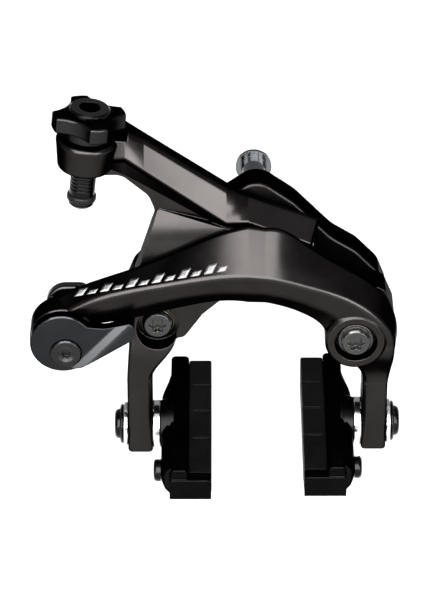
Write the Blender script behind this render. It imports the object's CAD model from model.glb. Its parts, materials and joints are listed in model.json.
"""Looks of a dual-pivot rim brake caliper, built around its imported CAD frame, in metres."""
import json
import math

import bpy
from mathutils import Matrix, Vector
from mathutils.bvhtree import BVHTree

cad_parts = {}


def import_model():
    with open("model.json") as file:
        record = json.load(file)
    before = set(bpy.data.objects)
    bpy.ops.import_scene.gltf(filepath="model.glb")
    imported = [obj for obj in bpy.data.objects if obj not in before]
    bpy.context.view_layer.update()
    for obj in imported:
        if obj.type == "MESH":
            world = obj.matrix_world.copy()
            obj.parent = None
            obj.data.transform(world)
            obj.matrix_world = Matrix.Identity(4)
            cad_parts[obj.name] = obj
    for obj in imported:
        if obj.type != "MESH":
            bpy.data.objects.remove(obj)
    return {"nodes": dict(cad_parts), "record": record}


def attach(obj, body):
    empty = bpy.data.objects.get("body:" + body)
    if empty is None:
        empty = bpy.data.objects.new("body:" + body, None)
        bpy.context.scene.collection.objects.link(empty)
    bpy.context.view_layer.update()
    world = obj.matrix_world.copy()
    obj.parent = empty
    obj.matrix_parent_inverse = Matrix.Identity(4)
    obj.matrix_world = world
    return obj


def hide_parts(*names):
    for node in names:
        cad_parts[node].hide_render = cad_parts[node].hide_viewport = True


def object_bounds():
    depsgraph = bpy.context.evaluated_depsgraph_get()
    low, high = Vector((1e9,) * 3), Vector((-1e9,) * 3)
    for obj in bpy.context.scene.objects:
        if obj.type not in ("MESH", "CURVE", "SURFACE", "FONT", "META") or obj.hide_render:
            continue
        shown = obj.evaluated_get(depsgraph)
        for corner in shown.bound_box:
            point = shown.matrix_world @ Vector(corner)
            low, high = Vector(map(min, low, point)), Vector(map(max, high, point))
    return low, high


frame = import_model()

CAD_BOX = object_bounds()
NODES = frame["nodes"]
RECORD = frame["record"]
MM = 0.001

# ------------------------------------------------------------------ node helpers
MIX_FIRST = 6       # a colour mix node's colour inputs and output, by place
MIX_SECOND = 7
MIX_RESULT = 2
EDGE_FULL = 0.86    # cosine between the rounded and the flat normal on a sharp edge
EDGE_NONE = 0.995   # and where the surface counts as flat
BEVEL_SAMPLES = 6


class Graph:
    """A material's node tree, with short calls for the nodes that every finish here uses."""

    def __init__(self, name, metallic):
        self.material = bpy.data.materials.new(name)
        self.material.use_nodes = True
        self.tree = self.material.node_tree
        self.shader = self.tree.nodes["Principled BSDF"]
        self.shader.inputs["Metallic"].default_value = metallic
        self.place = self.node("ShaderNodeTexCoord").outputs["Object"]

    def node(self, kind, **settings):
        made = self.tree.nodes.new(kind)
        for key, value in settings.items():
            setattr(made, key, value)
        return made

    def link(self, source, target):
        self.tree.links.new(source, target)

    def noise(self, scale, detail=3.0, stretch=None):
        """Noise over the object, as a value from 0 to 1; scale is in features per metre."""
        noise = self.node("ShaderNodeTexNoise")
        noise.inputs["Scale"].default_value = scale
        noise.inputs["Detail"].default_value = detail
        if stretch is None:
            self.link(self.place, noise.inputs["Vector"])
        else:
            mapping = self.node("ShaderNodeMapping")
            mapping.inputs["Scale"].default_value = stretch
            self.link(self.place, mapping.inputs["Vector"])
            self.link(mapping.outputs["Vector"], noise.inputs["Vector"])
        return noise.outputs["Fac"]

    def spread(self, value, low, high, from_low=0.3, from_high=0.7):
        """Map a value onto a range."""
        ranged = self.node("ShaderNodeMapRange")
        limits = {"From Min": from_low, "From Max": from_high, "To Min": low, "To Max": high}
        for socket, number in limits.items():
            ranged.inputs[socket].default_value = number
        self.link(value, ranged.inputs["Value"])
        return ranged.outputs["Result"]

    def mix(self, share, first, second):
        """Mix two colours; each is a colour value or the output of a node."""
        mixer = self.node("ShaderNodeMix", data_type="RGBA")
        self.link(share, mixer.inputs["Factor"])
        for place, colour in ((MIX_FIRST, first), (MIX_SECOND, second)):
            socket = mixer.inputs[place]
            if isinstance(colour, tuple):
                socket.default_value = (*colour, 1)
            else:
                self.link(colour, socket)
        return mixer.outputs[MIX_RESULT]

    def edges(self, width):
        """Where the surface turns sharply: 1 on edges, 0 on flats. Also gives the rounded normal."""
        bevel = self.node("ShaderNodeBevel", samples=BEVEL_SAMPLES)
        bevel.inputs["Radius"].default_value = width
        geometry = self.node("ShaderNodeNewGeometry")
        dot = self.node("ShaderNodeVectorMath", operation="DOT_PRODUCT")
        self.link(bevel.outputs["Normal"], dot.inputs[0])
        self.link(geometry.outputs["Normal"], dot.inputs[1])
        worn = self.spread(dot.outputs["Value"], 1.0, 0.0, EDGE_FULL, EDGE_NONE)
        return worn, bevel.outputs["Normal"]

    def bump(self, value, height, normal=None):
        """Relief of a height in metres from a value, over an optional base normal."""
        bump = self.node("ShaderNodeBump")
        bump.inputs["Distance"].default_value = height
        self.link(value, bump.inputs["Height"])
        if normal is not None:
            self.link(normal, bump.inputs["Normal"])
        return bump.outputs["Normal"]

    def shade(self, colour, roughness, normal):
        for name, value in (("Base Color", colour), ("Roughness", roughness), ("Normal", normal)):
            self.link(value, self.shader.inputs[name])
        return self.material


def tint(colour, share):
    """A colour made lighter (share above 1) or darker."""
    return tuple(min(1.0, channel * share) for channel in colour)


# ------------------------------------------------------------------ finishes
ANODISED_TINT = 0.08    # edge reflection of the black film


def anodised(name, colour, roughness, grain=0.0006 * MM):
    """Black anodised alloy: near-black mirror with faint clouding, micro grain and paler worn edges."""
    graph = Graph(name, 1.0)
    graph.shader.inputs["Specular Tint"].default_value = (ANODISED_TINT, ANODISED_TINT, ANODISED_TINT, 1)
    cloud = graph.noise(120.0, 4.0)
    fine = graph.noise(3200.0, 2.0)
    worn, rounded = graph.edges(0.30 * MM)
    base = graph.mix(graph.spread(cloud, 0.0, 1.0), tint(colour, 0.88), tint(colour, 1.12))
    base = graph.mix(worn, base, tint(colour, 1.5))
    rough = graph.spread(cloud, roughness * 0.92, roughness * 1.1)
    return graph.shade(base, rough, graph.bump(fine, grain, rounded))


def polished(name, colour, roughness):
    """Polished or plated steel with hairline marks and faint smudges."""
    graph = Graph(name, 1.0)
    marks = graph.noise(500.0, 6.0, (1.0, 12.0, 1.0))
    smudge = graph.noise(160.0, 3.0)
    rounded = graph.edges(0.15 * MM)[1]
    base = graph.mix(graph.spread(smudge, 0.0, 1.0), tint(colour, 0.9), colour)
    rough = graph.spread(smudge, roughness * 0.8, roughness * 1.4)
    return graph.shade(base, rough, graph.bump(marks, 0.0010 * MM, rounded))


def turned(name, colour, roughness, edge=1.3):
    """Machined steel with fine turning marks across its axis."""
    graph = Graph(name, 1.0)
    marks = graph.noise(900.0, 5.0, (1.0, 6.0, 1.0))
    cloud = graph.noise(220.0, 3.0)
    worn, rounded = graph.edges(0.2 * MM)
    base = graph.mix(graph.spread(cloud, 0.0, 1.0), tint(colour, 0.85), tint(colour, 1.08))
    base = graph.mix(worn, base, tint(colour, edge))
    rough = graph.spread(marks, roughness * 0.85, roughness * 1.2)
    return graph.shade(base, rough, graph.bump(marks, 0.0015 * MM, rounded))


def moulded(name, colour, roughness, sheen, grain, height):
    """Rubber or plastic: mottled, with a fine moulded grain and scuffed edges."""
    graph = Graph(name, 0.0)
    graph.shader.inputs["Specular IOR Level"].default_value = sheen
    cloud = graph.noise(140.0, 5.0)
    fine = graph.noise(grain, 3.0)
    worn, rounded = graph.edges(0.3 * MM)
    base = graph.mix(graph.spread(cloud, 0.0, 1.0), tint(colour, 0.75), tint(colour, 1.25))
    base = graph.mix(worn, base, tint(colour, 2.2))
    rough = graph.spread(cloud, roughness * 0.9, roughness * 1.1)
    return graph.shade(base, rough, graph.bump(fine, height, rounded))


FINISHES = {
    "dark_anodised": lambda name: anodised(name, (0.0080, 0.0075, 0.0073), 0.26),
    "arm_grey": lambda name: anodised(name, (0.0140, 0.0129, 0.0126), 0.24),
    "lever_grey": lambda name: anodised(name, (0.0125, 0.0132, 0.0138), 0.14),
    "adjuster_grey": lambda name: anodised(name, (0.0115, 0.0113, 0.0113), 0.27),
    "holder_black": lambda name: anodised(name, (0.0050, 0.0050, 0.0052), 0.30, 0.0015 * MM),
    "polished_steel": lambda name: polished(name, (0.48, 0.48, 0.485), 0.14),
    "nut_steel": lambda name: polished(name, (0.10, 0.104, 0.108), 0.15),
    "silver_print": lambda name: moulded(name, (0.075, 0.075, 0.075), 0.45, 0.2, 4200.0, 0.001 * MM),
    "bolt_steel": lambda name: turned(name, (0.036, 0.0355, 0.035), 0.20),
    "anchor_steel": lambda name: turned(name, (0.016, 0.016, 0.0165), 0.24),
    "spring_steel": lambda name: turned(name, (0.10, 0.10, 0.105), 0.28),
    "bush_bronze": lambda name: turned(name, (0.040, 0.028, 0.015), 0.36),
    "black_steel": lambda name: turned(name, (0.007, 0.007, 0.0073), 0.20),
    "black_plastic": lambda name: moulded(name, (0.0020, 0.0020, 0.0020), 0.5, 0.08, 5200.0, 0.002 * MM),
    "ring_rubber": lambda name: moulded(name, (0.0015, 0.0015, 0.0015), 0.45, 0.08, 4200.0, 0.002 * MM),
    "pad_rubber": lambda name: moulded(name, (0.0006, 0.0006, 0.00062), 0.50, 0.04, 3800.0, 0.004 * MM),
}
MATERIALS = {slot: make(slot) for slot, make in FINISHES.items()}
# nodes whose look differs from the rest of their slot
NODE_FINISH = {"crown_nut": "nut_steel", "adjuster_bolt": "black_steel"}


def finish_cad_nodes():
    """Give every carried-over CAD node its finish."""
    slots = {part["node"]: part["material_slot"] for part in RECORD["subparts"]}
    for name, node in NODES.items():
        node.data.materials.clear()
        node.data.materials.append(MATERIALS[NODE_FINISH.get(name, slots[name])])


# ------------------------------------------------------------------ pieces
def add_piece(name, vertices, faces, finish, body):
    """Smooth mesh piece that rides a body; vertices are in millimetres."""
    mesh = bpy.data.meshes.new(name)
    mesh.from_pydata([Vector(vertex) * MM for vertex in vertices], [], faces)
    mesh.shade_smooth()
    mesh.materials.append(MATERIALS[finish])
    piece = bpy.data.objects.new(name, mesh)
    bpy.context.collection.objects.link(piece)
    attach(piece, body)
    return piece


STUD_RADIUS = 3.0
STUD_SIDES = 48
THREAD_START = 13.0
THREAD_END = 43.0
THREAD_PITCH = 1.0
THREAD_DEPTH = 0.55
THREAD_STEP = 0.1
THREAD_FLANK = 2.2      # how fast the groove's depth falls off with the turn
STUD_CORNER = math.radians(40)
# depth and radius of the plain part of the mounting bolt, from its head to the thread
STUD_PLAIN = [(-11.8, 5.8), (-11.4, 6.2), (-8.6, 6.2), (-8.6, 4.5), (-6.6, 4.5), (-6.6, 3.0), (13.0, 3.0)]
STUD_TIP = [(43.3, 2.9), (44.0, 2.3)]


def thread_radius(depth, turn):
    """Radius of the threaded part at a depth, for a turn from 0 to 1 around the axis."""
    phase = (depth / THREAD_PITCH - turn) % 1.0
    groove = max(0.0, 1.0 - THREAD_FLANK * abs(phase - 0.5))
    run_in = min(1.0, (depth - THREAD_START) / THREAD_PITCH, (THREAD_END - depth) / THREAD_PITCH)
    return STUD_RADIUS - THREAD_DEPTH * groove * max(0.0, run_in)


def mounting_stud():
    """Mounting bolt with a true helical thread, in place of the plain CAD stud."""
    steps = round((THREAD_END - THREAD_START) / THREAD_STEP)
    rings = [(depth, [radius] * STUD_SIDES) for depth, radius in STUD_PLAIN]
    for step in range(1, steps):
        depth = THREAD_START + THREAD_STEP * step
        rings.append((depth, [thread_radius(depth, k / STUD_SIDES) for k in range(STUD_SIDES)]))
    rings += [(depth, [radius] * STUD_SIDES) for depth, radius in STUD_TIP]
    vertices = []
    for depth, radii in rings:
        for k, radius in enumerate(radii):
            angle = 2 * math.pi * k / STUD_SIDES
            vertices.append((radius * math.cos(angle), depth, radius * math.sin(angle)))
    faces = [tuple(range(STUD_SIDES))]
    for ring in range(len(rings) - 1):
        low = ring * STUD_SIDES
        high = low + STUD_SIDES
        for k in range(STUD_SIDES):
            after = (k + 1) % STUD_SIDES
            faces.append((low + k, high + k, high + after, low + after))
    faces.append(tuple(reversed(range(len(vertices) - STUD_SIDES, len(vertices)))))
    stud = add_piece("mounting_stud", vertices, faces, "nut_steel", "bridge")
    split = stud.modifiers.new("corners", "EDGE_SPLIT")
    split.split_angle = STUD_CORNER
    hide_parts("mounting_bolt")


MARK_TILT = math.radians(32)
MARK_INWARD = Vector((0, math.cos(MARK_TILT), -math.sin(MARK_TILT)))
MARK_UP = Vector((0, math.sin(MARK_TILT), math.cos(MARK_TILT)))
# ends of the row: place, height of the lower line, height of the upper line
MARK_START = (Vector((-54.0, 0, 0)), -14.7, -12.5)
MARK_END = (Vector((-8.0, 0, 0)), -7.0, -3.9)
MARK_COUNT = 12
MARK_FILL = 0.66        # a bar's share of its place in the row
MARK_LOW_REACH = 0.55   # height of the low bars against the tall ones
MARK_RAY = 200          # the rays start this far in front
MARK_GRID = 4
MARK_SLANT = 1.5
MARK_FILM = 0.04


def printed_marks():
    """Row of slanted bars printed on the front arm, alternately tall and low."""
    arm = NODES["front_arm"]
    tree = BVHTree.FromPolygons([vertex.co for vertex in arm.data.vertices],
                                [face.vertices for face in arm.data.polygons])
    vertices = []
    faces = []
    for bar in range(MARK_COUNT):
        reach = 1.0 if bar % 2 == 0 else MARK_LOW_REACH
        base = len(vertices)
        for row in range(MARK_GRID + 1):
            rise = reach * row / MARK_GRID
            for column in range(MARK_GRID + 1):
                along = (bar + MARK_FILL * column / MARK_GRID) / MARK_COUNT
                across = MARK_START[0].lerp(MARK_END[0], along)
                low = MARK_START[1] + (MARK_END[1] - MARK_START[1]) * along
                high = MARK_START[2] + (MARK_END[2] - MARK_START[2]) * along
                slant = Vector((MARK_SLANT * rise, 0, 0))
                point = across + slant + MARK_UP * (low + (high - low) * rise)
                hit = tree.ray_cast((point - MARK_INWARD * MARK_RAY) * MM, MARK_INWARD)[0]
                vertices.append(hit / MM - MARK_INWARD * MARK_FILM)
        for row in range(MARK_GRID):
            for column in range(MARK_GRID):
                corner = base + row * (MARK_GRID + 1) + column
                above = corner + MARK_GRID + 1
                faces.append((corner, corner + 1, above + 1, above))
    marks = add_piece("printed_marks", vertices, faces, "silver_print", "front_arm")
    film = marks.modifiers.new("film", "SOLIDIFY")
    film.thickness = MARK_FILM * MM
    film.offset = 1.0


# ------------------------------------------------------------------ studio
CAMERA_AIM = Vector((-13.2, -21.0, -5.4)) * MM
CAMERA_DISTANCE = 0.9
CAMERA_ELEVATION = math.radians(32)
FRAME_LONG_SIDE = 0.1791      # metres seen along the long side of the frame at the aim
SENSOR = 36.0
FLOOR_HALF = 3.0
FLOOR_DROP = 0.06             # gap between the object's lowest point and the floor
FLOOR_TONES = (0.39, 0.41)
FLOOR_ROUGHNESS = 0.9
WORLD_STRENGTH = 0.45
# azimuth, elevation, distance, size and radiance
SOFTBOXES = {
    "front": (-10, 34, 1.5, (1.7, 1.46), 26),
    "right": (38, 15, 1.5, (0.62, 0.80), 30),
    "left": (-36, 1, 1.5, (0.5, 0.2), 30),
    "overhead": (90, 72, 1.3, (1.1, 1.1), 0.8),
}


def camera():
    data = bpy.data.cameras.new("camera")
    data.sensor_width = SENSOR
    data.lens = SENSOR * CAMERA_DISTANCE / FRAME_LONG_SIDE
    data.clip_start = 0.05
    data.clip_end = 20
    item = bpy.data.objects.new("camera", data)
    back = Vector((0, -math.cos(CAMERA_ELEVATION), math.sin(CAMERA_ELEVATION)))
    item.location = CAMERA_AIM + back * CAMERA_DISTANCE
    item.rotation_euler = (math.pi / 2 - CAMERA_ELEVATION, 0, 0)
    bpy.context.collection.objects.link(item)
    bpy.context.scene.camera = item


def floor():
    """Plain pale floor below the object."""
    mesh = bpy.data.meshes.new("floor")
    level = CAD_BOX[0].z - FLOOR_DROP
    ring = ((-1, -1), (1, -1), (1, 1), (-1, 1))
    corners = [(x * FLOOR_HALF, y * FLOOR_HALF, level) for x, y in ring]
    mesh.from_pydata(corners, [], [(0, 1, 2, 3)])
    item = bpy.data.objects.new("floor", mesh)
    bpy.context.collection.objects.link(item)
    graph = Graph("floor", 0.0)
    cloud = graph.noise(6.0, 2.0)
    first, second = ((tone, tone, tone) for tone in FLOOR_TONES)
    base = graph.mix(graph.spread(cloud, 0.0, 1.0), first, second)
    graph.link(base, graph.shader.inputs["Base Color"])
    graph.shader.inputs["Roughness"].default_value = FLOOR_ROUGHNESS
    mesh.materials.append(graph.material)


def world():
    """Pale studio surround."""
    made = bpy.data.worlds.new("studio")
    bpy.context.scene.world = made
    made.use_nodes = True
    background = made.node_tree.nodes["Background"]
    background.inputs["Color"].default_value = (1, 1, 1, 1)
    background.inputs["Strength"].default_value = WORLD_STRENGTH


def softbox(name, azimuth, elevation, distance, size, radiance):
    """Rectangular softbox that faces the object; angles in degrees, azimuth 0 is in front."""
    data = bpy.data.lights.new(name, "AREA")
    data.shape = "RECTANGLE"
    data.size, data.size_y = size
    data.energy = radiance * math.pi * size[0] * size[1]
    item = bpy.data.objects.new(name, data)
    turn, lift = math.radians(azimuth), math.radians(elevation)
    outward = Vector((math.sin(turn) * math.cos(lift), -math.cos(turn) * math.cos(lift), math.sin(lift)))
    item.location = outward * distance
    item.rotation_euler = outward.to_track_quat("Z", "Y").to_euler()
    item.visible_camera = False
    bpy.context.collection.objects.link(item)


def studio():
    camera()
    floor()
    world()
    for name, settings in SOFTBOXES.items():
        softbox(name, *settings)
    bpy.context.scene.view_settings.view_transform = "Standard"


finish_cad_nodes()
mounting_stud()
printed_marks()
studio()
